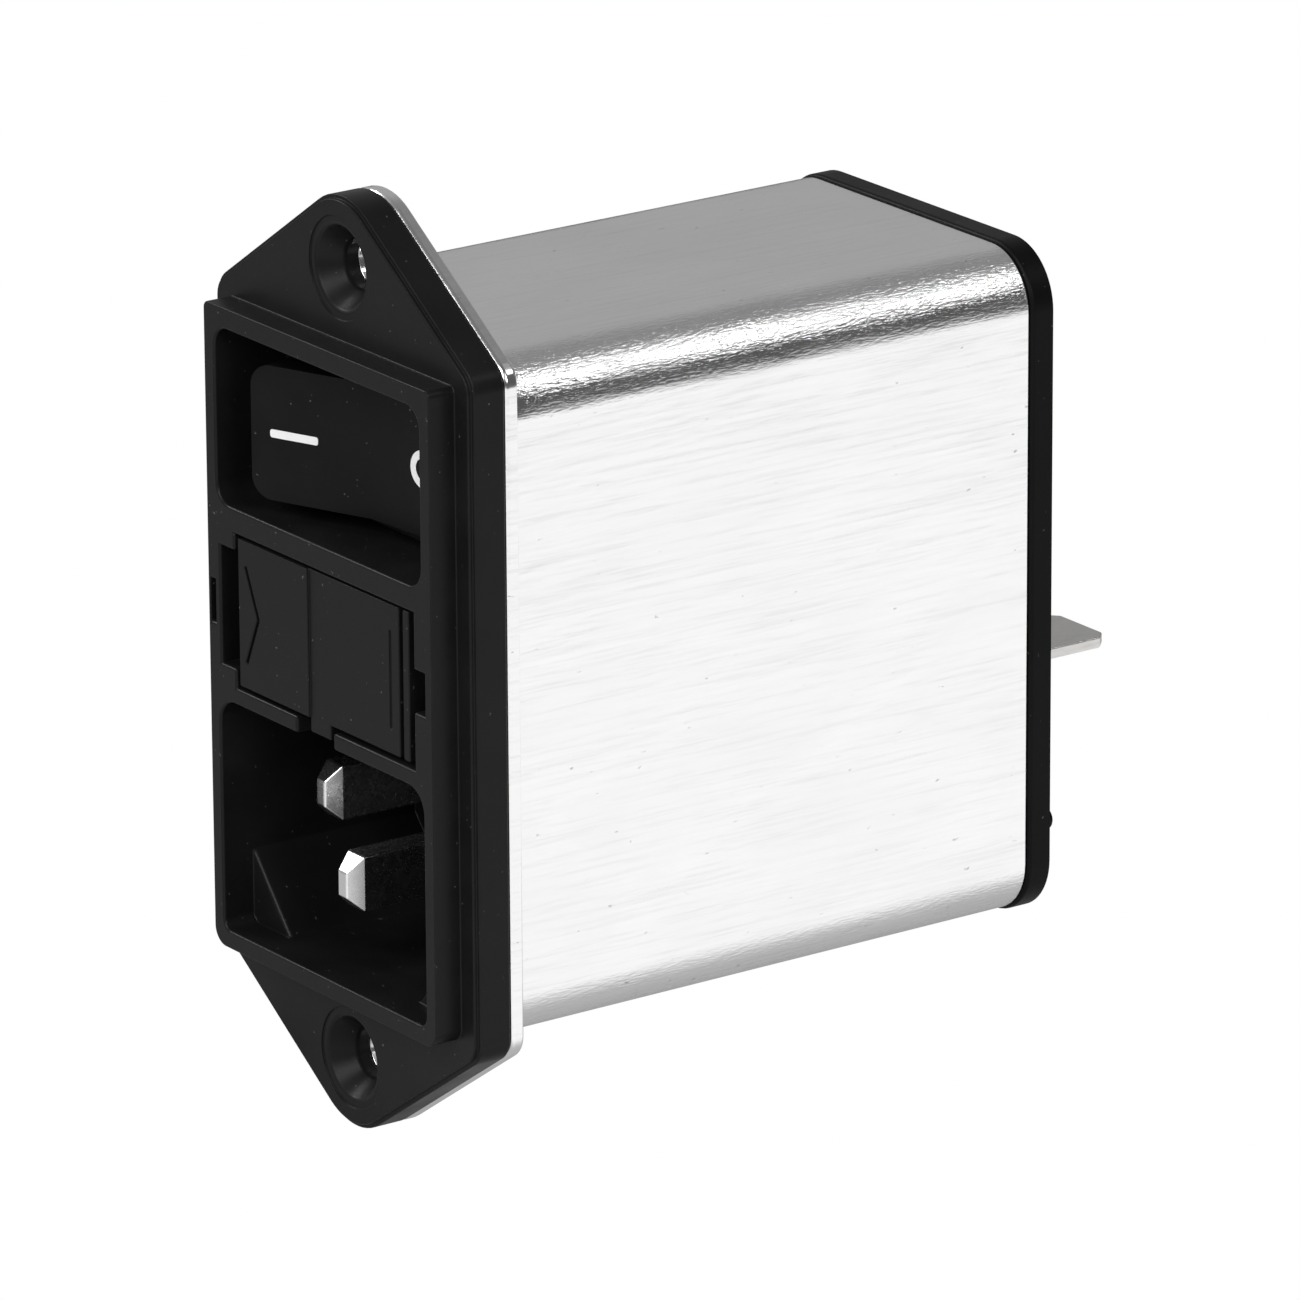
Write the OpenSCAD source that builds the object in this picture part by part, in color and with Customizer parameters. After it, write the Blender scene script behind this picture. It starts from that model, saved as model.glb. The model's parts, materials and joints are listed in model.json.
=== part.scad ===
// Panel-mount power inlet filter: a keyed three-pin inlet, a sliding drawer for two
// cartridge fuses and a two-pole rocker switch in one moulded front, on a flanged
// steel can that holds the choke and capacitors, with three tabs behind.
// Frame: origin at the middle of the mounting face, which is the rear face of the
// metal flange. X to the right seen from the front, Y into the panel, Z up.

/* [Metal can] */
// Width of the can
can_w = 28.4; // [28.2:0.1:32]
// Height of the can
can_h = 48.2; // [48:0.1:54]
// Depth of the can behind the mounting face
can_d = 43.4; // [40:0.1:70]
// Outer radius of the can's long corners
can_r = 4.2; // [3:0.1:5]
// Thickness of the can's sheet steel
can_wall = 0.8; // [0.5:0.1:0.9]
// Thickness of the metal flange
plate_t = 1.1; // [0.8:0.1:1.6]

/* [Flange and ears] */
// Width of the flange
flange_w = 30.6; // [30:0.1:34]
// Thickness of the moulded flange
flange_t = 2.8; // [2:0.1:4]
// Distance between the two fixing holes
hole_spacing = 56.2; // [55:0.1:64]
// Radius of each ear round its hole
ear_r = 5; // [4.2:0.1:6]
// Slope of the ears' straight edges, in degrees
ear_slope = 34; // [30:0.5:38]
// Radius where the ears' slopes meet the flange's sides
flange_corner_r = 2; // [1:0.1:3]
// Radius of the fixing hole
hole_r = 1.75; // [1.6:0.05:2]
// Radius of the countersink at the flange's face
sink_r = 3; // [2.6:0.05:3.2]
// Depth of the countersink's cone
sink_d = 1.6; // [1:0.1:1.9]
// Depth of the step round the flange's front edge
edge_step = 0.3; // [0.15:0.05:0.5]

/* [Bezel] */
// Width of the raised bezel
bezel_w = 27; // [26.8:0.1:28]
// Height of the raised bezel
bezel_h = 46.2; // [46:0.1:47.4]
// How far the bezel stands out of the flange
bezel_d = 2.1; // [1:0.1:3]
// Rim above the switch well
top_rim = 1.5; // [1.2:0.1:2]
// Rim below the inlet
bottom_rim = 1.3; // [1.2:0.1:2]
// Rib between the switch well and the fuse drawer
well_rib = 1.8; // [1.2:0.1:2.4]
// Rib between the fuse drawer and the inlet
inlet_rib = 1.2; // [1:0.1:1.6]

/* [Inlet] */
// Width of the inlet opening
inlet_w = 24.6; // [24:0.1:24.8]
// Height of the inlet opening
inlet_h = 16.8; // [16.2:0.1:17.2]
// Depth of the inlet from the bezel's face
inlet_d = 16; // [15:0.1:17]
// Width of the keyed bottom corners
key_w = 4.5; // [3.8:0.1:5.4]
// Height of the keyed bottom corners
key_h = 5.3; // [4:0.1:5.8]
// How deep behind the bezel's face the keyed corners start
key_set_back = 2.5; // [1:0.1:4]
// Distance between the line and neutral pins
pin_spacing = 14; // [13.4:0.1:14.6]
// How far the earth pin lies below the other two
earth_drop = 4; // [3.6:0.1:4.6]
// Width of a pin
pin_t = 2; // [1.8:0.1:2.2]
// Height of a pin
pin_h = 4; // [3.6:0.1:4.2]
// Depth of the line and neutral pin tips behind the bezel's face
pin_set_back = 4.6; // [3:0.1:6]
// How far the earth pin reaches past the others
earth_lead = 3; // [1.5:0.1:3.4]

/* [Rocker switch] */
// Width of the well round the rocker
well_w = 24.5; // [24.2:0.1:24.8]
// Height of the well round the rocker
well_h = 12.5; // [12.3:0.1:12.9]
// Depth from the bezel's face to the switch's frame
well_d = 5.7; // [5.2:0.1:6.4]
// Corner radius of the well
well_r = 1.5; // [0.8:0.1:2]
// Height of the rocker along its hinge pins
rocker_h = 9.5; // [9:0.1:9.7]
// Half length of the rocker from its hinge to a tip
rocker_reach = 9.6; // [9:0.1:9.7]
// Angle of each half of the rocker's face, in degrees
rocker_dish = 8.5; // [5:0.5:10]
// Tilt of the rocker to each side, in degrees
rocker_tilt = 13.5; // [10:0.5:14]
// Tilt of the contact bridges to each side, in degrees
bridge_tilt = 7; // [5:0.5:8]

/* [Fuse drawer] */
// Width of the drawer's face
drawer_w = 20.3; // [20.1:0.1:20.5]
// How far the drawer sits to the right of the middle
drawer_shift = 0.45; // [0:0.05:0.5]
// Thickness of the drawer's face
face_t = 2.4; // [2.1:0.1:3]
// Length of a fuse
fuse_l = 20; // [19.6:0.1:20.1]
// Diameter of a fuse's end caps
fuse_d = 5.2; // [5:0.1:5.4]
// Width of the pull tab under the face
tab_pull_w = 2.4; // [1.8:0.1:3.2]

/* [Terminals and cap] */
// Width of the rear tabs
tab_w = 6.3; // [4.8:0.1:6.3]
// Thickness of the rear tabs
tab_t = 0.8; // [0.5:0.1:0.8]
// How far the tabs stand out of the cap
tab_l = 8; // [6:0.1:10]
// Distance between the line and neutral tabs
tab_spacing = 15; // [14:0.1:16]
// Thickness of the rear cap's plate
cap_t = 1.8; // [1.4:0.1:3]
// How far the cap's plate stands past the can all round
cap_lip = 0.2; // [0:0.05:0.5]

/* [Filter parts] */
// Outer diameter of the choke's ring core
core_od = 17; // [15:0.1:18]
// Inner diameter of the choke's ring core
core_id = 9.5; // [9:0.1:10.5]
// Height of the choke's ring core
core_h = 9; // [6:0.1:12]
// Diameter of the winding wire
wire_d = 0.9; // [0.5:0.05:1]
// Turns in each winding
turns = 8; // [5:1:8]
// Thickness of the circuit board
board_t = 1.6; // [1:0.1:2]

/* [Hidden] */
$fn = 64;

// Clearances
slip = 0.15;     // round a piece that slides or drops into its place
snug = 0.05;     // round a blade in its slot, and of a hinge pin in its bearing
swing = 0.3;     // round the rocker in its pocket

// Planes along Y
face_y = -plate_t - flange_t - bezel_d;      // the bezel's face
flange_y = -plate_t - flange_t;              // the moulded flange's face
body_w = can_w - 2 * (can_wall + slip);      // the moulding inside the can
body_h = can_h - 2 * (can_wall + slip);
body_r = can_r - can_wall - slip;

// Heights of the three windows
well_top = bezel_h / 2 - top_rim;
well_bottom = well_top - well_h;
well_z = well_top - well_h / 2;
inlet_bottom = -bezel_h / 2 + bottom_rim;
inlet_top = inlet_bottom + inlet_h;
slot_top = well_bottom - well_rib;
slot_bottom = inlet_top + inlet_rib;

// Inlet
inlet_floor_y = face_y + inlet_d;
inlet_wall = 2;                              // wall behind the inlet
inlet_rear_y = inlet_floor_y + inlet_wall;
inlet_top_r = 1.8;
inlet_bottom_r = 0.8;
pin_z = inlet_bottom + inlet_h / 2 + earth_drop / 2;
pin_bevel = 1.2;

// Fuse drawer
drawer_left = drawer_shift - drawer_w / 2;
drawer_right = drawer_shift + drawer_w / 2;
gap_left = 0.5;
gap_right = 0.75;
gap_top = 0.2;
gap_bottom = 0.35;
drawer_top = slot_top - gap_top;
drawer_bottom = slot_bottom + gap_bottom;
drawer_z = (drawer_top + drawer_bottom) / 2;
clip_t = 0.5;
clip_w = 3;
clip_wall_x = fuse_l / 2 + slip + clip_t;    // from the fuses' middle to the slot's side
fuse_pitch = fuse_d + 1.4;
line_fuse_y = face_y + face_t + 0.8 + fuse_d / 2;
neutral_fuse_y = line_fuse_y + fuse_pitch;
tray_wall = 1.2;
drawer_rear_y = neutral_fuse_y + fuse_d / 2 + 0.8 + tray_wall;
slot_rear_y = drawer_rear_y + swing;
slot_wall = 1.4;
fuse_z = drawer_bottom + slip + tray_wall + 0.6 + fuse_d / 2;
fuse_cap_l = 5;
comb_t = 1.6;                                // combs that cradle the glass between the caps
cradle_x = fuse_l / 2 - fuse_cap_l - comb_t / 2 - swing;
pull_x = -0.1;                               // middle of the drawer's pull tab
glass_r = fuse_d / 2 - 0.25;

// Circuit board
board_gap = 4;
board_y = slot_rear_y + slot_wall + board_gap;
board_rear_y = board_y + board_t;
tail_l = 1;                                  // how far soldered tails stand out of the board
tail_y = board_rear_y + tail_l;
stand_off = tail_l + 0.2;                    // from the board to the pieces that clear the tails
pin_tail_t = 1;
pin_tail_h = 2.4;
tab_foot_w = 2.5;
board_w = body_w - 2 * slip;
board_h = body_h - 2 * swing;

// Rocker switch
rocker_drop = 0.2;
rocker_z = well_z - rocker_drop;
pivot_y = face_y + 7.05;
vertex_y = -3.2;                             // the face's middle, seen from the hinge
tip_y = vertex_y - rocker_reach * tan(rocker_dish);
frame_y = face_y + well_d;                   // front of the switch's frame
frame_t = 2.9;
ledge_y = frame_y + frame_t;
ledge_t = 1.4;
base_w = well_w - 1.3;
base_h = well_h - 1.3;
pocket_y = pivot_y + 3.9;                    // floor of the rocker's pocket
chamber_d = 11;                              // depth of the contact chambers behind the pivot
chamber_y = pivot_y + chamber_d;             // floor of the contact chambers
base_rear_y = chamber_y + 1.4;
pole_z = 2.4;                                // from the switch's middle to each pole
plunger_r = 1;
plunger_l = 4.2;
plunger_reach = 5.2;
bridge_y = pivot_y + 5.85;                   // where the bridges rock on their feeds
bridge_l = 14;
bridge_t = 0.5;
bridge_w = 3;
contact_x = 6.2;
rivet_r = 1.2;
rivet_t = 0.4;
hinge_r = 1;
hinge_l = 0.7;

// Rear tabs
cap_y = can_d;
cap_rear_y = cap_y + cap_t;
line_tab_x = -tab_spacing / 2;
tab_row_z = -6.4;
earth_tab_z = 0;
tab_tip_y = cap_rear_y + tab_l;
tab_root_y = board_rear_y + 0.4;

// Choke
core_z = 12.1;
core_x = 0;
core_edge = 1;
lay = 0.1;                                   // between the wire and the core
core_y = board_rear_y + stand_off + wire_d + lay + core_h / 2;
core_mid_r = (core_od + core_id) / 4;
core_half = (core_od - core_id) / 4;
winding_span = 136;

// ---- Shared shapes ----

// A box between two opposite corners
module block(a, b) {
    translate(a) cube(b - a);
}

// Carries a drawing from the XZ plane along Y, from y0 to y1
module slab(y0, y1) {
    translate([0, y1, 0]) rotate([90, 0, 0]) linear_extrude(y1 - y0) children();
}

// Turns a shape made along Z to run along X
module along_x() {
    rotate([0, 90, 0]) children();
}

// Turns a shape made along Z to run along Y
module along_y() {
    rotate([-90, 0, 0]) children();
}

// Rectangle with round corners about the drawing's middle
module round_rect(w, h, r) {
    square([w - 2 * r, h], center = true);
    square([w, h - 2 * r], center = true);
    for (sx = [-1, 1], sz = [-1, 1])
        translate([sx * (w / 2 - r), sz * (h / 2 - r)]) circle(r);
}

// Rectangle with one radius for the top corners and one for the bottom corners
module window(w, z0, z1, r_top, r_bottom) {
    translate([-w / 2, z0 + r_bottom]) square([w, z1 - z0 - r_top - r_bottom]);
    translate([-w / 2 + r_top, z1 - 2 * r_top]) square([w - 2 * r_top, 2 * r_top]);
    translate([-w / 2 + r_bottom, z0]) square([w - 2 * r_bottom, 2 * r_bottom]);
    for (s = [-1, 1]) {
        translate([s * (w / 2 - r_top), z1 - r_top]) circle(r_top);
        translate([s * (w / 2 - r_bottom), z0 + r_bottom]) circle(r_bottom);
    }
}

function unit(v) = v / norm(v);
function corner_dirs(p, i) = [
    unit(p[(i + len(p) - 1) % len(p)] - p[i]),
    unit(p[(i + 1) % len(p)] - p[i])];
function half_angle(d) = acos(d[0] * d[1]) / 2;

// Convex polygon p whose corners have the radii r
module round_poly(p, r) {
    dirs = [for (i = [0:len(p) - 1]) corner_dirs(p, i)];
    polygon([for (i = [0:len(p) - 1], k = [0, 1])
        p[i] + dirs[i][k] * r[i] / tan(half_angle(dirs[i]))]);
    for (i = [0:len(p) - 1])
        translate(p[i] + unit(dirs[i][0] + dirs[i][1]) * r[i] / sin(half_angle(dirs[i])))
            circle(r[i]);
}

// Outline of the flange with its two ears, drawn in by e all round
module flange_outline(e = 0) {
    reach = ear_r - e;
    half_w = flange_w / 2 - e;
    hole_z = hole_spacing / 2;
    side_z = (reach + hole_z * cos(ear_slope) - half_w * sin(ear_slope)) / cos(ear_slope);
    apex_z = hole_z + reach / cos(ear_slope);
    side_r = flange_corner_r - e;
    round_poly(
        [[half_w, -side_z], [half_w, side_z], [0, apex_z],
         [-half_w, side_z], [-half_w, -side_z], [0, -apex_z]],
        [side_r, side_r, reach, side_r, side_r, reach]);
}

// Tube swept along a path: each ring of the wire is set up from a side vector
function along(path, i) = unit(path[min(i + 1, len(path) - 1)] - path[max(i - 1, 0)]);
function ring(c, t, side, r, n) =
    let (u = unit(cross(t, side)), v = cross(u, t))
    [for (k = [0:n - 1]) c + r * (cos(360 * k / n) * u + sin(360 * k / n) * v)];

module swept_wire(path, sides, r, n) {
    last = len(path) - 1;
    points = [for (i = [0:last]) each ring(path[i], along(path, i), sides[i], r, n)];
    skin = [for (i = [0:last - 1], k = [0:n - 1])
        let (k2 = (k + 1) % n)
        [i * n + k, i * n + k2, (i + 1) * n + k2, (i + 1) * n + k]];
    first_end = [for (k = [n - 1:-1:0]) k];
    last_end = [for (k = [0:n - 1]) last * n + k];
    polyhedron(points, concat([first_end], skin, [last_end]), convexity = 10);
}

// ---- Front moulding ----

module fixing_sinks() {
    ring_r = sink_r + 0.6;
    ring_d = 0.12;
    for (s = [-1, 1]) translate([0, flange_y, s * hole_spacing / 2]) along_y() {
        translate([0, 0, -1]) cylinder(r = ring_r, h = 1 + ring_d);
        translate([0, 0, ring_d]) cylinder(r1 = sink_r, r2 = hole_r, h = sink_d);
        cylinder(r = hole_r, h = flange_t + 1);
    }
}

// The inlet's opening: round at the top, keyed at the two bottom corners further in
module inlet_opening() {
    slab(face_y - 1, face_y + key_set_back)
        window(inlet_w, inlet_bottom, inlet_top, inlet_top_r, inlet_bottom_r);
    slab(face_y + key_set_back - 0.01, inlet_floor_y) difference() {
        window(inlet_w, inlet_bottom, inlet_top, inlet_top_r, inlet_bottom_r);
        for (s = [-1, 1]) polygon([
            [s * inlet_w / 2, inlet_bottom - 1],
            [s * inlet_w / 2, inlet_bottom + key_h],
            [s * (inlet_w / 2 - key_w), inlet_bottom],
            [s * (inlet_w / 2 - key_w), inlet_bottom - 1]]);
    }
}

// The drawer's slot with the deeper pockets beside its face
module drawer_slot() {
    finger_w = 1.8;
    finger_h = 8.5;
    notch_w = 1.25;
    notch_h = 3;
    pocket_d = 3;
    outer_lip = 0.25;
    outer_notch_w = 0.9;
    outer_notch_d = 1.5;
    pull_left = pull_x - tab_pull_w / 2;
    pull_gap_left = 1.5;
    pull_gap_right = 0.5;
    right = drawer_shift + clip_wall_x;
    left = drawer_shift - clip_wall_x;
    block([drawer_left - gap_left, face_y - 1, slot_bottom],
          [drawer_right + gap_right, face_y + face_t + slip, slot_top]);
    block([left, face_y + face_t, slot_bottom], [right, slot_rear_y, slot_top]);
    block([drawer_left - gap_left - finger_w, face_y - 1, drawer_z - finger_h / 2],
          [drawer_left, face_y + pocket_d, drawer_z + finger_h / 2]);
    block([drawer_right, face_y - 1, drawer_z - notch_h / 2],
          [drawer_right + gap_right + notch_w, face_y + pocket_d, drawer_z + notch_h / 2]);
    block([-bezel_w / 2 + outer_lip, face_y - 1, drawer_z - notch_h / 2],
          [-bezel_w / 2 + outer_notch_w, face_y + outer_notch_d, drawer_z + notch_h / 2]);
    block([pull_left - pull_gap_left, face_y - 1, inlet_top - 1],
          [pull_left + tab_pull_w + pull_gap_right, face_y + face_t, slot_bottom + 1]);
}

// Slots for the blades that pass through a wall
module clip_slots(y0, y1) {
    for (s = [-1, 1]) {
        x = drawer_shift + s * (clip_wall_x - clip_t / 2);
        for (z = [clip_rail_z, fuse_z])
            block([x - clip_t / 2 - snug, y0, z - clip_w / 2 - snug],
                  [x + clip_t / 2 + snug, y1, z + clip_w / 2 + snug]);
    }
}
clip_rail_z = slot_top - clip_w / 2 - 0.4;

module pin_slots(y0, y1) {
    for (p = [[-pin_spacing / 2, pin_z], [pin_spacing / 2, pin_z], [0, pin_z - earth_drop]])
        block([p[0] - pin_t / 2 - snug, y0, p[1] - pin_h / 2 - snug],
              [p[0] + pin_t / 2 + snug, y1, p[1] + pin_h / 2 + snug]);
}

// Posts on the back of the inlet that carry the circuit board
module board_posts() {
    post_r = 1.5;
    corner_x = body_w / 2 - 2.4;
    corner_z = -body_h / 2 + 3;
    slot_post_x = 5;
    for (s = [-1, 1]) {
        translate([s * corner_x, inlet_rear_y, corner_z])
            along_y() cylinder(r = post_r, h = board_y - inlet_rear_y);
        translate([s * slot_post_x, slot_rear_y + slot_wall, drawer_z])
            along_y() cylinder(r = post_r, h = board_gap);
    }
}

module front_housing() color([0.07, 0.07, 0.075]) difference() {
    union() {
        slab(flange_y, flange_y + edge_step + 0.1) flange_outline(edge_step);
        slab(flange_y + edge_step, -plate_t) flange_outline();
        slab(face_y, flange_y) window(bezel_w, -bezel_h / 2, bezel_h / 2, 0.5, 1.3);
        intersection() {
            slab(-plate_t, board_y) round_rect(body_w, body_h, body_r);
            union() {
                block([-body_w, -plate_t, -body_h], [body_w, inlet_rear_y, slot_bottom]);
                block([-body_w, -plate_t, slot_bottom - 0.1],
                      [body_w, slot_rear_y + slot_wall, slot_top + 0.1]);
                block([-body_w, -plate_t, slot_top], [body_w, ledge_y + ledge_t, body_h]);
            }
        }
        board_posts();
    }
    fixing_sinks();
    inlet_opening();
    pin_slots(inlet_floor_y - 1, inlet_rear_y + 1);
    drawer_slot();
    clip_slots(slot_rear_y - 1, slot_rear_y + slot_wall + 1);
    translate([0, 0, well_z]) {
        slab(face_y - 1, ledge_y) round_rect(well_w, well_h, well_r);
        translate([0, 0, -rocker_drop])
            slab(ledge_y - 1, ledge_y + ledge_t + 1)
                square([base_w + 2 * slip, base_h + 2 * slip], center = true);
    }
}

// ---- Metal can and rear cap ----

module metal_can() color([0.78, 0.79, 0.8]) difference() {
    union() {
        slab(-plate_t, 0) flange_outline();
        slab(-plate_t / 2, can_d) round_rect(can_w, can_h, can_r);
    }
    slab(-plate_t - 1, can_d + 1)
        round_rect(can_w - 2 * can_wall, can_h - 2 * can_wall, can_r - can_wall);
    for (s = [-1, 1]) translate([0, -plate_t - 1, s * hole_spacing / 2])
        along_y() cylinder(r = hole_r, h = plate_t + 2);
}

module tab_slot_places() {
    for (p = [[line_tab_x, tab_row_z], [-line_tab_x, tab_row_z], [0, earth_tab_z]])
        translate([p[0], p[1]]) children();
}

module rear_cap() color([0.09, 0.09, 0.095]) difference() {
    skirt_d = 3;
    skirt_t = 1.2;
    collar_w = tab_w + 2.4;
    collar_h = 3;
    collar_d = 0.6;
    pip_r = 0.8;
    pip_d = 0.35;
    pip_x = can_w / 2 + cap_lip - pip_r - 0.05;
    pip_z = -17.1;
    union() {
        slab(cap_y, cap_rear_y) round_rect(can_w + 2 * cap_lip, can_h + 2 * cap_lip, can_r + cap_lip);
        slab(cap_rear_y - 0.1, cap_rear_y + collar_d)
            tab_slot_places() round_rect(collar_w, collar_h, 0.8);
        for (s = [-1, 1]) translate([s * pip_x, cap_rear_y - 0.1, pip_z])
            along_y() cylinder(r = pip_r, h = pip_d + 0.1);
        slab(cap_y - skirt_d, cap_y + 0.1) difference() {
            round_rect(body_w, body_h, body_r);
            round_rect(body_w - 2 * skirt_t, body_h - 2 * skirt_t, body_r - skirt_t);
        }
    }
    slab(cap_y - skirt_d, cap_rear_y + 2)
        tab_slot_places() square([tab_w + 2 * snug, tab_t + 2 * snug], center = true);
}

// ---- Inlet pins and rear tabs ----

// A flat pin with a bevelled tip, from tip_at back to the circuit board
module inlet_pin(x, z, tip_at) {
    tip_h = pin_h * 0.45;
    tip_t = pin_t * 0.5;
    body_end = inlet_rear_y + 1;
    translate([x, 0, z]) {
        intersection() {
            along_x() translate([0, 0, -pin_t]) linear_extrude(2 * pin_t) polygon([
                [tip_h / 2, tip_at], [pin_h / 2, tip_at + pin_bevel], [pin_h / 2, body_end],
                [-pin_h / 2, body_end], [-pin_h / 2, tip_at + pin_bevel], [-tip_h / 2, tip_at]]);
            translate([0, 0, -pin_h]) linear_extrude(2 * pin_h) polygon([
                [-tip_t / 2, tip_at], [tip_t / 2, tip_at], [pin_t / 2, tip_at + pin_bevel],
                [pin_t / 2, body_end], [-pin_t / 2, body_end], [-pin_t / 2, tip_at + pin_bevel]]);
        }
        block([-pin_tail_t / 2, body_end - 0.1, -pin_tail_h / 2],
              [pin_tail_t / 2, tail_y, pin_tail_h / 2]);
    }
}

module line_pin() color([0.8, 0.8, 0.82])
    inlet_pin(-pin_spacing / 2, pin_z, face_y + pin_set_back);

module neutral_pin() color([0.8, 0.8, 0.82])
    inlet_pin(pin_spacing / 2, pin_z, face_y + pin_set_back);

module earth_pin() color([0.8, 0.8, 0.82])
    inlet_pin(0, pin_z - earth_drop, face_y + pin_set_back - earth_lead);

// A flat tab with a chamfered tip and a hole, on a foot in the circuit board
module rear_tab(x, z) {
    tip_cut = 0.8;
    hole_back = 4.2;
    tab_hole_r = 0.85;
    half = tab_w / 2;
    translate([x, 0, z - tab_t / 2]) linear_extrude(tab_t) difference() {
        polygon([
            [-tab_foot_w / 2, board_y - 1], [tab_foot_w / 2, board_y - 1],
            [tab_foot_w / 2, tab_root_y], [half, tab_root_y],
            [half, tab_tip_y - tip_cut], [half - tip_cut, tab_tip_y],
            [-half + tip_cut, tab_tip_y], [-half, tab_tip_y - tip_cut],
            [-half, tab_root_y], [-tab_foot_w / 2, tab_root_y]]);
        translate([0, tab_tip_y - hole_back]) circle(tab_hole_r);
    }
}

module line_tab() color([0.8, 0.8, 0.78]) rear_tab(line_tab_x, tab_row_z);
module neutral_tab() color([0.8, 0.8, 0.78]) rear_tab(-line_tab_x, tab_row_z);
module earth_tab() color([0.8, 0.8, 0.78]) rear_tab(0, earth_tab_z);

// ---- Rocker switch ----

// Places what is drawn round the hinge where it lies with the O side pressed
module at_hinge() {
    translate([0, pivot_y, rocker_z]) rotate([0, 0, rocker_tilt]) children();
}

module switch_base() color([0.08, 0.08, 0.085]) difference() {
    tip_gap = 1.25;
    chamber_end = 2;
    chamber_edge = 0.4;
    pocket_w = 2 * (rocker_reach + tip_gap);
    pocket_h = rocker_h + 2 * swing;
    chamber_w = base_w - 2 * chamber_end;
    divider = 1;
    union() {
        translate([0, 0, well_z]) slab(frame_y, ledge_y)
            round_rect(well_w - 2 * slip, well_h - 2 * slip, well_r - slip);
        translate([0, 0, rocker_z]) slab(ledge_y - 0.1, base_rear_y)
            square([base_w, base_h], center = true);
    }
    translate([0, 0, rocker_z]) {
        slab(frame_y - 1, pocket_y) square([pocket_w, pocket_h], center = true);
        for (s = [-1, 1]) {
            z0 = s > 0 ? divider / 2 : -pocket_h / 2 + chamber_edge;
            z1 = s > 0 ? pocket_h / 2 - chamber_edge : -divider / 2;
            block([-chamber_w / 2, bridge_y + 1.6, z0], [chamber_w / 2, chamber_y, z1]);
        }
        block([-chamber_w / 2, pocket_y - 1, -pocket_h / 2 + chamber_edge],
              [chamber_w / 2, bridge_y + 1.7, pocket_h / 2 - chamber_edge]);
        translate([0, pivot_y, 0])
            cylinder(r = hinge_r + snug, h = pocket_h + 2 * hinge_l, center = true);
        for (s = [-1, 1], x = [0, contact_x])
            block([x - tab_t / 2 - snug, chamber_y - 1, s * pole_z - bridge_w / 2 - snug],
                  [x + tab_t / 2 + snug, base_rear_y + 1, s * pole_z + bridge_w / 2 + snug]);
    }
}

// Face of the rocker from tip to tip, and its underside, about the hinge
module rocker_profile() {
    polygon([
        [-rocker_reach, tip_y], [0, vertex_y], [rocker_reach, tip_y],
        [rocker_reach - 0.4, tip_y + 3.2], [4.6, 1.6], [-4.6, 1.6],
        [-rocker_reach + 0.4, tip_y + 3.2]]);
}

module rocker() color([0.1, 0.1, 0.105]) at_hinge() difference() {
    corner_r = 1.6;
    front_y = -8;
    skirt_y = 4;
    stem_r = 1.7;
    stem_l = 3;
    union() {
        intersection() {
            translate([0, 0, -rocker_h / 2]) linear_extrude(rocker_h) rocker_profile();
            slab(front_y, skirt_y) round_rect(2 * rocker_reach, rocker_h, corner_r);
        }
        for (s = [-1, 1]) translate([0, 1, s * pole_z]) along_y() cylinder(r = stem_r, h = stem_l - 1);
        cylinder(r = hinge_r, h = rocker_h + 2 * (hinge_l - snug) + 2 * swing, center = true);
    }
    for (s = [-1, 1]) translate([0, spring_y, s * pole_z])
        along_y() cylinder(r = plunger_r + snug, h = 6);
}
spring_y = -1.2;

// Spring-loaded pin between the rocker and a bridge
module plunger(side) color([0.85, 0.84, 0.8]) at_hinge() translate([0, 0, side * pole_z]) {
    translate([0, plunger_reach - plunger_l, 0])
        along_y() cylinder(r = plunger_r, h = plunger_l - plunger_r);
    intersection() {
        translate([0, plunger_reach - plunger_r, 0]) sphere(plunger_r);
        block([-2, plunger_reach - plunger_r, -2], [2, plunger_reach, 2]);
    }
}

module plunger_spring(side) color([0.6, 0.6, 0.62]) {
    coils = 4;
    steps = 12;
    wire_r = 0.13;
    coil_r = plunger_r - wire_r - 0.1;
    rise = plunger_reach - plunger_l - spring_y - 2 * wire_r - 2 * snug;
    path = [for (i = [0:coils * steps])
        [coil_r * cos(i * 360 / steps),
         spring_y + snug + wire_r + rise * i / (coils * steps),
         side * pole_z + coil_r * sin(i * 360 / steps)]];
    at_hinge() swept_wire(path, [for (p = path) [0, 1, 0]], wire_r, 6);
}

// A strip that rocks on its feed and closes on the contact at its right end
module bridge(side) color([0.78, 0.6, 0.32])
    translate([0, bridge_y, rocker_z + side * pole_z]) rotate([0, 0, -bridge_tilt]) {
        block([-bridge_l / 2, -bridge_t, -bridge_w / 2], [bridge_l / 2, 0, bridge_w / 2]);
        translate([contact_x, -0.1, 0]) along_y() cylinder(r = rivet_r, h = rivet_t + 0.1);
    }

// A blade from inside the switch to the circuit board
module switch_blade(side, x, top_y) {
    block([x - tab_t / 2, top_y, rocker_z + side * pole_z - bridge_w / 2],
          [x + tab_t / 2, tail_y, rocker_z + side * pole_z + bridge_w / 2]);
}

module switch_feed(side) color([0.78, 0.6, 0.32])
    switch_blade(side, 0, bridge_y + 2 * snug);

module switch_contact(side) color([0.78, 0.6, 0.32]) {
    closed_y = bridge_y + contact_x * tan(bridge_tilt) + rivet_t / cos(bridge_tilt) + 3 * snug;
    switch_blade(side, contact_x, closed_y + rivet_t);
    translate([contact_x, closed_y, rocker_z + side * pole_z])
        along_y() cylinder(r = rivet_r, h = rivet_t + 0.1);
}

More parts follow.
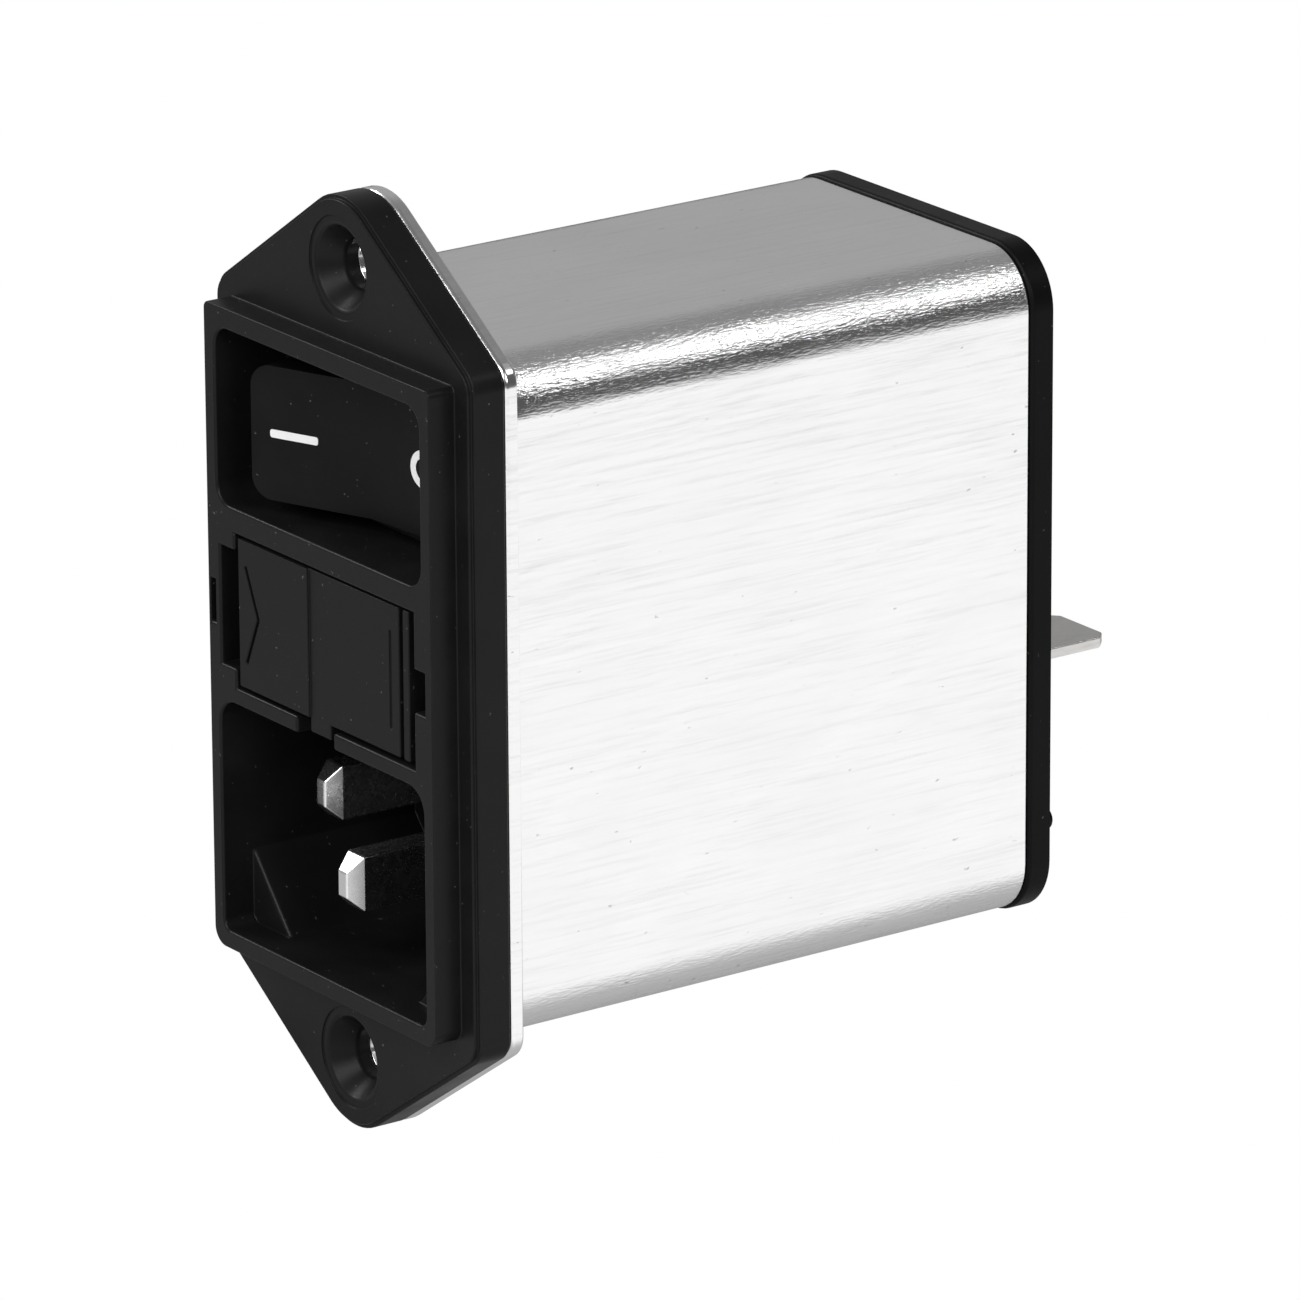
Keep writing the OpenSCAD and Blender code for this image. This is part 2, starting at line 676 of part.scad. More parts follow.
module line_plunger() plunger(-1);
module neutral_plunger() plunger(1);
module line_plunger_spring() plunger_spring(-1);
module neutral_plunger_spring() plunger_spring(1);
module line_bridge() bridge(-1);
module neutral_bridge() bridge(1);
module line_switch_feed() switch_feed(-1);
module neutral_switch_feed() switch_feed(1);
module line_switch_contact() switch_contact(-1);
module neutral_switch_contact() switch_contact(1);

// ---- Fuse drawer and fuses ----

// Grooves in the face: an arrow at the left and two lines at the right
module face_grooves() {
    groove_w = 0.3;
    groove_d = 0.25;
    arrow_x = drawer_left + 0.85;
    arrow_w = 1.5;
    arrow_h = 3.45;
    line_x = drawer_right - 2.2;
    seam_x = drawer_right - 0.95;
    seam_w = 0.45;
    seam_d = 0.7;
    lean = atan(arrow_w / arrow_h);
    stroke = arrow_h / cos(lean);
    slab(face_y - 1, face_y + groove_d) {
        for (s = [-1, 1]) translate([arrow_x + arrow_w, drawer_z]) rotate(s > 0 ? lean : 180 - lean)
            translate([-groove_w / 2, 0]) square([groove_w, stroke]);
        translate([line_x - groove_w / 2, drawer_z - arrow_h]) square([groove_w, 2 * arrow_h]);
    }
    block([seam_x - seam_w / 2, face_y - 1, drawer_bottom - 1],
          [seam_x + seam_w / 2, face_y + seam_d, drawer_top + 1]);
}

module drawer_face() difference() {
    step_d = 0.15;
    pull_l = 1.05;
    recess_y = face_y + step_d;
    pull_left = pull_x - tab_pull_w / 2;
    union() {
        block([drawer_left, recess_y, drawer_bottom], [drawer_right, face_y + face_t, drawer_top]);
        block([drawer_left, face_y, drawer_bottom], [pull_left, recess_y + 0.1, drawer_top]);
        block([pull_left, recess_y, drawer_bottom - pull_l],
              [pull_left + tab_pull_w, face_y + face_t - slip, drawer_bottom + 0.1]);
    }
    face_grooves();
}

// Open tray behind the face: floor, back wall and two combs that cradle the fuses
module drawer_tray() difference() {
    floor_z = drawer_bottom + slip;
    comb_top = fuse_z + 1.2;
    tray_left = drawer_shift - fuse_l / 2 + slip;
    tray_right = drawer_shift + fuse_l / 2 - slip;
    front_y = face_y + face_t - 0.1;
    union() {
        block([tray_left, front_y, floor_z], [tray_right, drawer_rear_y, floor_z + tray_wall]);
        block([tray_left, drawer_rear_y - tray_wall, floor_z], [tray_right, drawer_rear_y, comb_top + 1]);
        for (s = [-1, 1]) block(
            [drawer_shift + s * cradle_x - comb_t / 2, front_y, floor_z],
            [drawer_shift + s * cradle_x + comb_t / 2, drawer_rear_y, comb_top]);
    }
    for (y = [line_fuse_y, neutral_fuse_y]) translate([drawer_shift, y, fuse_z])
        along_x() cylinder(r = glass_r + snug, h = fuse_l + 2, center = true);
}

module fuse_drawer() color([0.085, 0.085, 0.09]) {
    drawer_face();
    drawer_tray();
}

module at_fuse(y) {
    translate([drawer_shift, y, fuse_z]) along_x() children();
}

module fuse_tube(y) color([0.85, 0.9, 0.92]) at_fuse(y) difference() {
    tube_l = fuse_l - 2 * 0.4;
    bore_r = glass_r - 0.6;
    cylinder(r = glass_r, h = tube_l, center = true);
    cylinder(r = bore_r, h = tube_l + 1, center = true);
}

// A cup over the end of the glass tube
module fuse_cap(y, side) color([0.8, 0.8, 0.78]) at_fuse(y) scale_side(side)
    translate([0, 0, fuse_l / 2 - fuse_cap_l]) difference() {
        cylinder(r = fuse_d / 2, h = fuse_cap_l);
        translate([0, 0, -1]) cylinder(r = glass_r, h = fuse_cap_l + 1 - 0.4);
    }

// Mirrors a piece to the left end, or leaves it at the right end
module scale_side(side) {
    mirror([0, 0, side < 0 ? 1 : 0]) children();
}

module fuse_wire(y) color([0.75, 0.72, 0.65]) at_fuse(y)
    cylinder(r = 0.15, h = fuse_l - 2 * 0.4, center = true, $fn = 16);

module line_fuse_tube() fuse_tube(line_fuse_y);
module line_fuse_cap_left() fuse_cap(line_fuse_y, -1);
module line_fuse_cap_right() fuse_cap(line_fuse_y, 1);
module line_fuse_wire() fuse_wire(line_fuse_y);
module neutral_fuse_tube() fuse_tube(neutral_fuse_y);
module neutral_fuse_cap_left() fuse_cap(neutral_fuse_y, -1);
module neutral_fuse_cap_right() fuse_cap(neutral_fuse_y, 1);
module neutral_fuse_wire() fuse_wire(neutral_fuse_y);

// Strips along the slot's sides. The front fuse's strip runs back above the rear fuse's.
module front_clip(side) color([0.78, 0.6, 0.32]) {
    x0 = drawer_shift + side * (clip_wall_x - clip_t / 2);
    block([x0 - clip_t / 2, line_fuse_y - clip_w / 2, fuse_z - clip_w / 2],
          [x0 + clip_t / 2, line_fuse_y + clip_w / 2, clip_rail_z + clip_w / 2]);
    block([x0 - clip_t / 2, line_fuse_y, clip_rail_z - clip_w / 2],
          [x0 + clip_t / 2, tail_y, clip_rail_z + clip_w / 2]);
}

module rear_clip(side) color([0.78, 0.6, 0.32]) {
    x0 = drawer_shift + side * (clip_wall_x - clip_t / 2);
    block([x0 - clip_t / 2, neutral_fuse_y - clip_w / 2, fuse_z - clip_w / 2],
          [x0 + clip_t / 2, tail_y, fuse_z + clip_w / 2]);
}

module line_fuse_clip_left() front_clip(-1);
module line_fuse_clip_right() front_clip(1);
module neutral_fuse_clip_left() rear_clip(-1);
module neutral_fuse_clip_right() rear_clip(1);

// ---- Filter parts on the circuit board ----

lead_r = 0.35;
x_cap_z = -15;
x_cap_lead = 7.5;
y_cap_x = clip_wall_x - clip_t - drawer_shift - lead_r - swing;
y_cap_z = -1.1;
y_cap_lead = 2.5;
resistor_x = 4.4;
resistor_up = 2.1;                           // above the can's floor
resistor_z = -can_h / 2 + can_wall + resistor_up;
resistor_lead = 4.2;
strap_x = -6;
strap_t = 0.4;

// Start and end of a winding on the board
lead_out = core_half + wire_d / 2 + lay;

// A point of a winding: k counts the steps round the core's section, four to a corner
function section(k) = let (a = 90 * floor(k / 4) + 30 * (k % 4), q = floor(k / 4) % 4,
    su = (q == 0 || q == 3) ? 1 : -1, sv = (q == 0 || q == 1) ? 1 : -1,
    grow = core_edge + wire_d / 2 + lay)
    [su * (core_half - core_edge) + grow * cos(a), sv * (core_h / 2 - core_edge) + grow * sin(a)];
function on_ring(u, y, f) =
    [core_x + (core_mid_r + u) * cos(f), core_y + y, core_z + (core_mid_r + u) * sin(f)];
function winding_angle(k, mid) = mid - winding_span / 2 + winding_span * k / (16 * turns);
function winding_path(mid) = let (
        last = 16 * turns - 4,
        f0 = winding_angle(0, mid),
        f1 = winding_angle(last, mid),
        tail = board_y - 1 - core_y)
    concat(
        [on_ring(lead_out, tail, f0)],
        [for (k = [0:last]) on_ring(section(k)[0], section(k)[1], winding_angle(k, mid))],
        [on_ring(core_half + 0.4, -core_h / 2 - wire_d / 2 - lay, f1),
         on_ring(core_half + 0.75, -core_h / 2 - wire_d / 2 - 0.4, f1),
         on_ring(core_half + 0.75, tail, f1)]);
function winding_sides(mid) = let (last = 16 * turns - 4)
    [for (i = [0:last + 4]) let (f = winding_angle(max(0, min(i - 1, last)), mid)) [-sin(f), 0, cos(f)]];

module winding(mid) color([0.72, 0.4, 0.18])
    swept_wire(winding_path(mid), winding_sides(mid), wire_d / 2, 8);

module line_winding() winding(180);
module neutral_winding() winding(0);

module choke_core() color([0.2, 0.26, 0.2]) translate([core_x, core_y, core_z]) along_y()
    rotate_extrude() translate([core_mid_r, 0]) round_rect(2 * core_half, core_h, core_edge);

// Insulating bar between the two windings, held in the core's bore
module choke_divider() color([0.9, 0.88, 0.8]) {
    bar_t = 1.2;
    half = core_id / 2 - snug;
    block([core_x - bar_t / 2, tail_y + slip, core_z - half],
          [core_x + bar_t / 2, core_y + core_h / 2, core_z + half]);
}

// Holes for the soldered leads and tails, as centres in the board
module lead_holes() {
    for (mid = [0, 180]) {
        path = winding_path(mid);
        for (p = [path[0], path[len(path) - 1]]) translate([p[0], p[2]]) circle(wire_d / 2 + snug);
    }
    for (s = [-1, 1]) {
        translate([s * x_cap_lead, x_cap_z]) circle(lead_r + snug);
        for (t = [-1, 1]) translate([s * y_cap_x, y_cap_z + t * y_cap_lead]) circle(lead_r + snug);
        translate([resistor_x + s * resistor_lead, resistor_z]) circle(lead_r + snug);
    }
}

module circuit_board() color([0.12, 0.3, 0.16]) difference() {
    grow = 2 * snug;
    slab(board_y, board_rear_y) round_rect(board_w, board_h, body_r);
    slab(board_y - 1, board_rear_y + 1) {
        lead_holes();
        for (s = [-1, 1], x = [0, contact_x]) translate([x, rocker_z + s * pole_z])
            square([tab_t + grow, bridge_w + grow], center = true);
        for (s = [-1, 1], z = [clip_rail_z, fuse_z])
            translate([drawer_shift + s * (clip_wall_x - clip_t / 2), z])
                square([clip_t + grow, clip_w + grow], center = true);
        for (p = [[-pin_spacing / 2, pin_z], [pin_spacing / 2, pin_z], [0, pin_z - earth_drop]])
            translate(p) square([pin_tail_t + grow, pin_tail_h + grow], center = true);
        tab_slot_places() square([tab_foot_w + grow, tab_t + grow], center = true);
    }
}

// A round lead from the board up to y1
module lead(x, z, y1) {
    translate([x, board_y - 1, z]) along_y() cylinder(r = lead_r, h = y1 - board_y + 1, $fn = 24);
}

module x_capacitor() color([0.75, 0.72, 0.2]) {
    w = 18;
    h = 8;
    d = 14;
    y0 = board_rear_y + stand_off;
    slab(y0, y0 + d) translate([0, x_cap_z]) round_rect(w, h, 0.6);
    for (s = [-1, 1]) lead(s * x_cap_lead, x_cap_z, y0 + 1);
}

module y_capacitor(x) color([0.2, 0.4, 0.65]) {
    r = 3.7;
    t = 2.8;
    y0 = board_rear_y + stand_off + r;
    translate([x, y0, y_cap_z]) along_x() rotate_extrude() {
        translate([0, -t / 2]) square([r - t / 2, t]);
        translate([r - t / 2, 0]) intersection() {
            circle(t / 2);
            translate([0, -t]) square([t, 2 * t]);
        }
    }
    for (s = [-1, 1]) lead(x, y_cap_z + s * y_cap_lead, y0);
}

module line_y_capacitor() y_capacitor(-y_cap_x);
module neutral_y_capacitor() y_capacitor(y_cap_x);

// Axial resistor lying along X, its leads bent down into the board
module bleed_resistor() color([0.82, 0.72, 0.55]) {
    r = 1;
    l = 6.2;
    y0 = board_rear_y + swing + r;
    translate([resistor_x, y0, resistor_z]) along_x() {
        cylinder(r = r, h = l, center = true);
        cylinder(r = lead_r, h = 2 * (resistor_lead + lead_r), center = true, $fn = 24);
    }
    for (s = [-1, 1]) lead(resistor_x + s * resistor_lead, resistor_z, y0);
}

// Strip that bonds the board's earth to the can's floor
module earth_strap() color([0.8, 0.8, 0.78]) {
    w = 4;
    lap = 1.6;
    run = 5;
    rise = 3;
    floor_z = -can_h / 2 + can_wall;
    translate([strap_x, 0, floor_z]) {
        block([-w / 2, board_y - lap, 0], [w / 2, board_rear_y + run, strap_t]);
        block([-w / 2, board_rear_y, 0], [w / 2, board_rear_y + strap_t, rise]);
    }
}

front_housing();
metal_can();
rear_cap();
line_pin();
neutral_pin();
earth_pin();
switch_base();
rocker();
line_plunger();
neutral_plunger();
line_plunger_spring();
neutral_plunger_spring();
line_bridge();
neutral_bridge();
line_switch_feed();
neutral_switch_feed();
line_switch_contact();
neutral_switch_contact();
fuse_drawer();
line_fuse_tube();
line_fuse_cap_left();
line_fuse_cap_right();
line_fuse_wire();
neutral_fuse_tube();
neutral_fuse_cap_left();
neutral_fuse_cap_right();
neutral_fuse_wire();
line_fuse_clip_left();
line_fuse_clip_right();
neutral_fuse_clip_left();
neutral_fuse_clip_right();
circuit_board();
choke_core();
choke_divider();
line_winding();
neutral_winding();
x_capacitor();
line_y_capacitor();
neutral_y_capacitor();
bleed_resistor();
line_tab();
neutral_tab();
earth_tab();
earth_strap();
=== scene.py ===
"""Looks of the panel-mount power inlet filter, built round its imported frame."""
import json
import math

import bmesh
import bpy
from mathutils import Matrix, Vector


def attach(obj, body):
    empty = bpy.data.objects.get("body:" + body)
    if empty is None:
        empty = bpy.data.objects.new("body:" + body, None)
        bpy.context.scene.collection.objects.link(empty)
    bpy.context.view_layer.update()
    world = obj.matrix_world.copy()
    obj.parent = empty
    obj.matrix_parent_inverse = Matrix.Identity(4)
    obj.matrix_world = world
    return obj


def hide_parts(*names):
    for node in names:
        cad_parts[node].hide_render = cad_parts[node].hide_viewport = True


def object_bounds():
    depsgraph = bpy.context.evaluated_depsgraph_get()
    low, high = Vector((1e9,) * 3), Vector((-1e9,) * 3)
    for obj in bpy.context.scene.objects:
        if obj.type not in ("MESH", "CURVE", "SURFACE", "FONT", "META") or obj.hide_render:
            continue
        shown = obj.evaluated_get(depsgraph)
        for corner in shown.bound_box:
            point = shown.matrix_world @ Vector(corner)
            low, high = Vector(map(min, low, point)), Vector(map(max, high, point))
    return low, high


MM = 0.001

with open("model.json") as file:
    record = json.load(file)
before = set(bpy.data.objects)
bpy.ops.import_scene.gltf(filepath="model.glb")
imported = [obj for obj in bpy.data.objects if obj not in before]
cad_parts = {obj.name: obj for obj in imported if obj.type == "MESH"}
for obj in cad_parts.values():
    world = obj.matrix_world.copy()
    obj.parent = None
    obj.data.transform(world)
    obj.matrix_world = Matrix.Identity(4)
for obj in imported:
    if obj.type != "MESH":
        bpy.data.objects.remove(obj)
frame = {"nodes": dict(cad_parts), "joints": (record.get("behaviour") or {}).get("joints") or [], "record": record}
cad_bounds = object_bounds()
nodes = frame["nodes"]
record = frame["record"]
body_of = {n: b for b, names in record["behaviour"]["bodies"].items() for n in names}
slot_of = {s["node"]: s["material_slot"] for s in record["subparts"]}
joints = {j["name"]: j for j in frame["joints"]}
scene = bpy.context.scene


def grey(v, tint=1.0):
    return (v, v, v * tint)


def dim(colour, share):
    return [c * share for c in colour]


# ---- Node trees ----

class Tree:
    """A node tree with short calls for the nodes that this scene uses."""

    def __init__(self, tree):
        self.tree = tree

    def add(self, kind):
        return self.tree.nodes.new("ShaderNode" + kind)

    def link(self, output, socket):
        self.tree.links.new(output, socket)

    def feed(self, socket, value):
        """Links an output to the socket, or sets the socket to a number or a colour."""
        if isinstance(value, bpy.types.NodeSocket):
            self.link(value, socket)
        else:
            socket.default_value = (*value, 1.0) if socket.type == "RGBA" else value

    def split(self, vector):
        """A vector's X, Y and Z, each as an output."""
        s = self.add("SeparateXYZ")
        self.link(vector, s.inputs[0])
        return [s.outputs[axis] for axis in "XYZ"]

    def ramp(self, value, low, high, from_low, from_high, smooth=False):
        """Maps a value from one range to another, held at both ends."""
        r = self.add("MapRange")
        if smooth:
            r.interpolation_type = "SMOOTHSTEP"
        r.inputs["From Min"].default_value = from_low
        r.inputs["From Max"].default_value = from_high
        r.inputs["To Min"].default_value = low
        r.inputs["To Max"].default_value = high
        self.link(value, r.inputs["Value"])
        return r.outputs["Result"]

    def mask(self, value, low, high):
        """0 where the value is below low, and 1 where it is above high."""
        return self.ramp(value, 0.0, 1.0, low, high)

    def maths(self, op, a, b=0.0):
        m = self.add("Math")
        m.operation = op
        self.feed(m.inputs[0], a)
        self.feed(m.inputs[1], b)
        return m.outputs["Value"]

    def mix(self, fac, a, b):
        """Colour a where fac is 0, and b where it is 1."""
        m = self.add("Mix")
        m.data_type = "RGBA"
        self.link(fac, m.inputs["Factor"])
        sockets = [s for s in m.inputs if s.type == "RGBA"]
        self.feed(sockets[0], a)
        self.feed(sockets[1], b)
        return [s for s in m.outputs if s.type == "RGBA"][0]


class Shader(Tree):
    """A Principled material. Its textures lie in object coordinates, in millimetres."""

    def __init__(self, name, **inputs):
        self.mat = bpy.data.materials.new(name)
        self.mat.use_nodes = True
        super().__init__(self.mat.node_tree)
        self.bsdf = self.tree.nodes["Principled BSDF"]
        for key, value in inputs.items():
            self.bsdf.inputs[key.replace("_", " ")].default_value = value
        self.coord = self.add("TexCoord").outputs["Object"]
        self.normal = None

    def space(self, per_mm=(1, 1, 1), turn=(0, 0, 0)):
        """Object coordinates in millimetres, times a factor for each axis."""
        m = self.add("Mapping")
        m.inputs["Scale"].default_value = [f / MM for f in per_mm]
        m.inputs["Rotation"].default_value = [math.radians(t) for t in turn]
        self.link(self.coord, m.inputs["Vector"])
        return m.outputs["Vector"]

    def noise(self, per_mm, detail=2.0, rough=0.5, distort=0.0, turn=(0, 0, 0)):
        """Noise with about so many grains in a millimetre, the same or another along each axis."""
        if isinstance(per_mm, float):
            per_mm = (per_mm,) * 3
        n = self.add("TexNoise")
        n.inputs["Scale"].default_value = 1.0
        n.inputs["Detail"].default_value = detail
        n.inputs["Roughness"].default_value = rough
        n.inputs["Distortion"].default_value = distort
        self.link(self.space(per_mm, turn), n.inputs["Vector"])
        return n.outputs["Fac"]

    def drive(self, name, value):
        self.link(value, self.bsdf.inputs[name])

    def bump(self, height, distance_mm, strength=1.0):
        """Adds a bump to those before it."""
        b = self.add("Bump")
        b.inputs["Strength"].default_value = strength
        b.inputs["Distance"].default_value = distance_mm * MM
        self.link(height, b.inputs["Height"])
        if self.normal is not None:
            self.link(self.normal, b.inputs["Normal"])
        self.normal = b.outputs["Normal"]
        self.drive("Normal", self.normal)


# ---- Materials ----

NOISE = (0.3, 0.7)          # most of a noise lies between these two
DUST = (0.735, 0.765)       # the few peaks of a noise that show as specks of dust
DUST_GREY = 0.09
PITS = (0.70, 0.76)         # the peaks that show as pits in the plating
STREAKS = (0.52, 0.74)      # the peaks that show as dark streaks
STREAK_COVER = 0.4          # how much of the metal a streak hides
STREAK_TURN = (1.6, 0, 0)   # degrees that the streaks lie askew
STREAK_DEPTH = 0.0008       # mm
CLOUDED, STREAKED, PITTED = 0.95, 0.85, 0.55    # share of the metal's own colour

BEND_X = (9.4, 11.4)        # mm from the middle where the can's flat faces turn into its corners
BEND_Z = (19.4, 21.4)
WALL_Y = (0.2, 1.5)         # mm behind the flange where the can's drawn walls begin


def moulding(name, dark, light, rough, gloss=0.15, grain_depth=0.006):
    """Fine-grained black moulding with uneven sheen and a few specks of dust."""
    s = Shader(name, Specular_IOR_Level=gloss)
    cloud = s.noise(0.22, detail=4.0)
    base = s.mix(s.mask(cloud, 0.35, 0.68), dark, light)
    s.drive("Base Color", s.mix(s.mask(s.noise(2.6), *DUST), base, grey(DUST_GREY)))
    grain = s.noise(7.0)
    s.drive("Roughness", s.maths("ADD", s.ramp(cloud, rough - 0.05, rough + 0.06, *NOISE),
                                 s.ramp(grain, -0.03, 0.03, *NOISE)))
    s.bump(grain, grain_depth, 0.7)
    return s.mat


def drawn_relief(s):
    """A soft waviness of the can's drawn walls, stronger at its bends. The flange stays flat."""
    x, y, z = s.split(s.space())
    wall = s.mask(y, *WALL_Y)
    bend = s.maths("MULTIPLY", s.mask(s.maths("ABSOLUTE", x), *BEND_X),
                   s.mask(s.maths("ABSOLUTE", z), *BEND_Z))
    s.bump(s.maths("MULTIPLY", s.noise((0.8, 0.2, 0.8)), wall), 0.05, 0.6)
    s.bump(s.maths("MULTIPLY", s.noise((5.5, 1.1, 5.5), detail=3.0, rough=0.6), wall), 0.006)
    s.bump(s.maths("MULTIPLY", s.noise((6.0, 1.3, 6.0), detail=3.0, rough=0.6),
                   s.maths("MULTIPLY", bend, wall)), 0.05)


def plated(name, tint, rough, streak=(3.0, 0.12, 3.0), pits=True, drawn=False):
    """Plated sheet metal: clouded plating, pits, and streaks along the drawing direction."""
    s = Shader(name, Metallic=1.0)
    cloud = s.noise((0.16, 0.09, 0.16), detail=5.0, rough=0.62, distort=0.6)
    lines = s.noise(streak, detail=5.0, rough=0.65, turn=STREAK_TURN)
    base = s.mix(s.mask(cloud, 0.34, 0.66), dim(tint, CLOUDED), tint)
    base = s.mix(s.ramp(lines, 0.0, STREAK_COVER, *STREAKS), base, dim(tint, STREAKED))
    if pits:
        pit = s.mask(s.noise((1.7, 0.8, 1.7), detail=3.0, rough=0.6), *PITS)
        base = s.mix(pit, base, dim(tint, PITTED))
    s.drive("Base Color", base)
    s.drive("Roughness", s.maths("ADD", s.ramp(lines, rough - 0.07, rough + 0.09, *NOISE),
                                 s.ramp(cloud, -0.04, 0.05, *NOISE)))
    if drawn:
        drawn_relief(s)
    s.bump(lines, STREAK_DEPTH)
    s.bump(s.noise((9.0, 3.5, 9.0)), 0.0012, 0.8)
    return s.mat


def coated(name, colour, rough, dapple=0.12, grain=6.0, depth=0.004, spread=0.05, metallic=0.0):
    """Dipped, moulded or plated small part: one colour with a soft dapple and fine grain."""
    s = Shader(name, Metallic=metallic)
    cloud = s.mask(s.noise(0.6, detail=4.0), 0.32, 0.68)
    s.drive("Base Color", s.mix(cloud, dim(colour, 1 - dapple), colour))
    fine = s.noise(grain)
    s.drive("Roughness", s.ramp(fine, rough - spread, rough + spread, *NOISE))
    s.bump(fine, depth, 0.6)
    return s.mat


def glass(name):
    """Clear glass with faint smears."""
    s = Shader(name, Transmission_Weight=1.0, IOR=1.5)
    smear = s.noise(0.5, detail=3.0)
    s.drive("Base Color", s.mix(smear, (0.93, 0.96, 0.96), (0.98, 1.0, 1.0)))
    s.drive("Roughness", s.ramp(smear, 0.01, 0.05, 0.4, 0.8))
    return s.mat


def black(v):
    """A near-black that leans a little towards blue."""
    return grey(v, 1.05)


MATERIALS = {
    "moulding": moulding("moulding", black(0.008), black(0.011), 0.36),
    "drawer_plastic": moulding("drawer_plastic", black(0.008), black(0.010), 0.4),
    "rocker_plastic": moulding("rocker_plastic", black(0.005), black(0.007), 0.36,
                               grain_depth=0.004),
    "cap_plastic": moulding("cap_plastic", black(0.003), black(0.005), 0.4, gloss=0.1),
    "can_steel": plated("can_steel", grey(0.97), 0.17, drawn=True),
    "pin_metal": coated("pin_metal", grey(0.92), 0.27, dapple=0.06, grain=1.5, depth=0.0003,
                        spread=0.02, metallic=1.0),
    "tab_metal": plated("tab_metal", (0.76, 0.75, 0.73), 0.34, streak=(5.0, 0.5, 5.0)),
    "contact_brass": plated("contact_brass", (0.78, 0.58, 0.28), 0.28, streak=(4.0, 0.6, 4.0)),
    "spring_steel": plated("spring_steel", grey(0.55), 0.25, streak=(4.0, 4.0, 4.0), pits=False),
    "fuse_glass": glass("fuse_glass"),
    "fuse_metal": plated("fuse_metal", (0.8, 0.8, 0.78), 0.22, streak=(4.0, 4.0, 0.6)),
    "board_laminate": coated("board_laminate", (0.03, 0.16, 0.06), 0.3),
    "core_coating": coated("core_coating", (0.05, 0.12, 0.07), 0.45),
    "divider_plastic": coated("divider_plastic", (0.7, 0.67, 0.56), 0.5),
    "winding_copper": coated("winding_copper", (0.62, 0.24, 0.08), 0.22, metallic=1.0),
    "box_capacitor": coated("box_capacitor", (0.6, 0.5, 0.05), 0.35),
    "disc_capacitor": coated("disc_capacitor", (0.03, 0.12, 0.42), 0.3),
    "resistor_body": coated("resistor_body", (0.6, 0.48, 0.28), 0.4),
}
white_mark = coated("mark_white", grey(0.93), 0.4, dapple=0.05, depth=0.002)


# ---- Pieces ----

PLAIN, ROUNDED = 0, 1                   # material numbers that tell flat faces from roundings
CURVED = math.cos(math.radians(20))     # two flat faces that turn less shade as one
BLEND = math.cos(math.radians(60))      # a rounding shades into a flat face that turns less
SMOOTH = math.radians(32)               # faces of an undressed piece that turn less shade as one


def new_object(name, bm):
    mesh = bpy.data.meshes.new(name)
    bm.to_mesh(mesh)
    bm.free()
    obj = bpy.data.objects.new(name, mesh)
    scene.collection.objects.link(obj)
    return obj


def settle(obj):
    """Applies the modifiers, and brings the mesh from millimetres to metres."""
    graph = bpy.context.evaluated_depsgraph_get()
    mesh = bpy.data.meshes.new_from_object(obj.evaluated_get(graph), preserve_all_data_layers=True,
                                           depsgraph=graph)
    obj.modifiers.clear()
    obj.data = mesh
    mesh.transform(Matrix.Scale(MM, 4))


def facing(face, faces, least):
    """Those of the faces whose normal has at least that cosine with this face's normal."""
    return [f for f in faces if f.normal.dot(face.normal) > least]


def set_normals(mesh):
    """Flat faces keep their own normal up to the border, and roundings run smoothly between."""
    bm = bmesh.new()
    bm.from_mesh(mesh)
    bm.normal_update()
    size = {f: f.calc_area() for f in bm.faces}
    normals = []
    for face in bm.faces:
        for loop in face.loops:
            near = loop.vert.link_faces
            plain = [f for f in near if f.material_index == PLAIN]
            if face.material_index == PLAIN:
                group = facing(face, plain, CURVED)
            else:
                group = facing(face, plain, BLEND)
                if group:
                    best = max(group, key=lambda f: f.normal.dot(face.normal))
                    group = facing(best, group, CURVED)
                else:
                    group = facing(face, near, BLEND)
            total = Vector()
            for f in group:
                total += f.normal * size[f]
            normals.append(total.normalized() if total.length > 0 else face.normal.copy())
    bm.free()
    mesh.shade_smooth()
    mesh.normals_split_custom_set(normals)


def rounded(obj, segments):
    """Rounds the weighted edges. Each edge's radius is limited beforehand, by weigh_edges: the
    modifier's own limit would make every radius of the piece as small as the tightest one."""
    for _ in (PLAIN, ROUNDED):
        obj.data.materials.append(None)
    b = obj.modifiers.new("round", "BEVEL")
    b.limit_method = "WEIGHT"
    b.width = 1.0
    b.segments = segments
    b.use_clamp_overlap = False
    b.material = ROUNDED
    settle(obj)
    set_normals(obj.data)
    for face in obj.data.polygons:
        face.material_index = PLAIN
    return obj


SHARP = math.radians(24)    # an edge that turns more than this gets rounded
ROOM_SHARE = 0.4            # part of the way to a neighbouring edge that a rounding may take
AHEAD = -0.85               # cosine between two edges past which the one runs on into the other
IN_LINE = math.sin(math.radians(2))     # sine below which two edges lie in one line
OPPOSED = -0.3              # cosine between the inward sides of two edges that face each other
SHARED_GAP = 0.85           # part of the width between two edges that their roundings may take
FAR = 1e9                   # more than any distance here


def runs_on(e, v, f):
    """Cosine between two edges seen from their shared vertex: near -1 where f continues e."""
    return (e.other_vert(v).co - v.co).normalized().dot((f.other_vert(v).co - v.co).normalized())


def room(e, layer):
    """How far the rounding of this edge may reach before it runs over a neighbouring edge."""
    best = FAR
    for v in e.verts:
        for f in v.link_edges:
            if f is e:
                continue
            dot = runs_on(e, v, f)
            apart = math.sqrt(max(0.0, 1 - dot * dot))
            if dot < AHEAD and (f[layer] > 0 or apart < IN_LINE):
                continue
            best = min(best, f.calc_length() * apart)
    return best


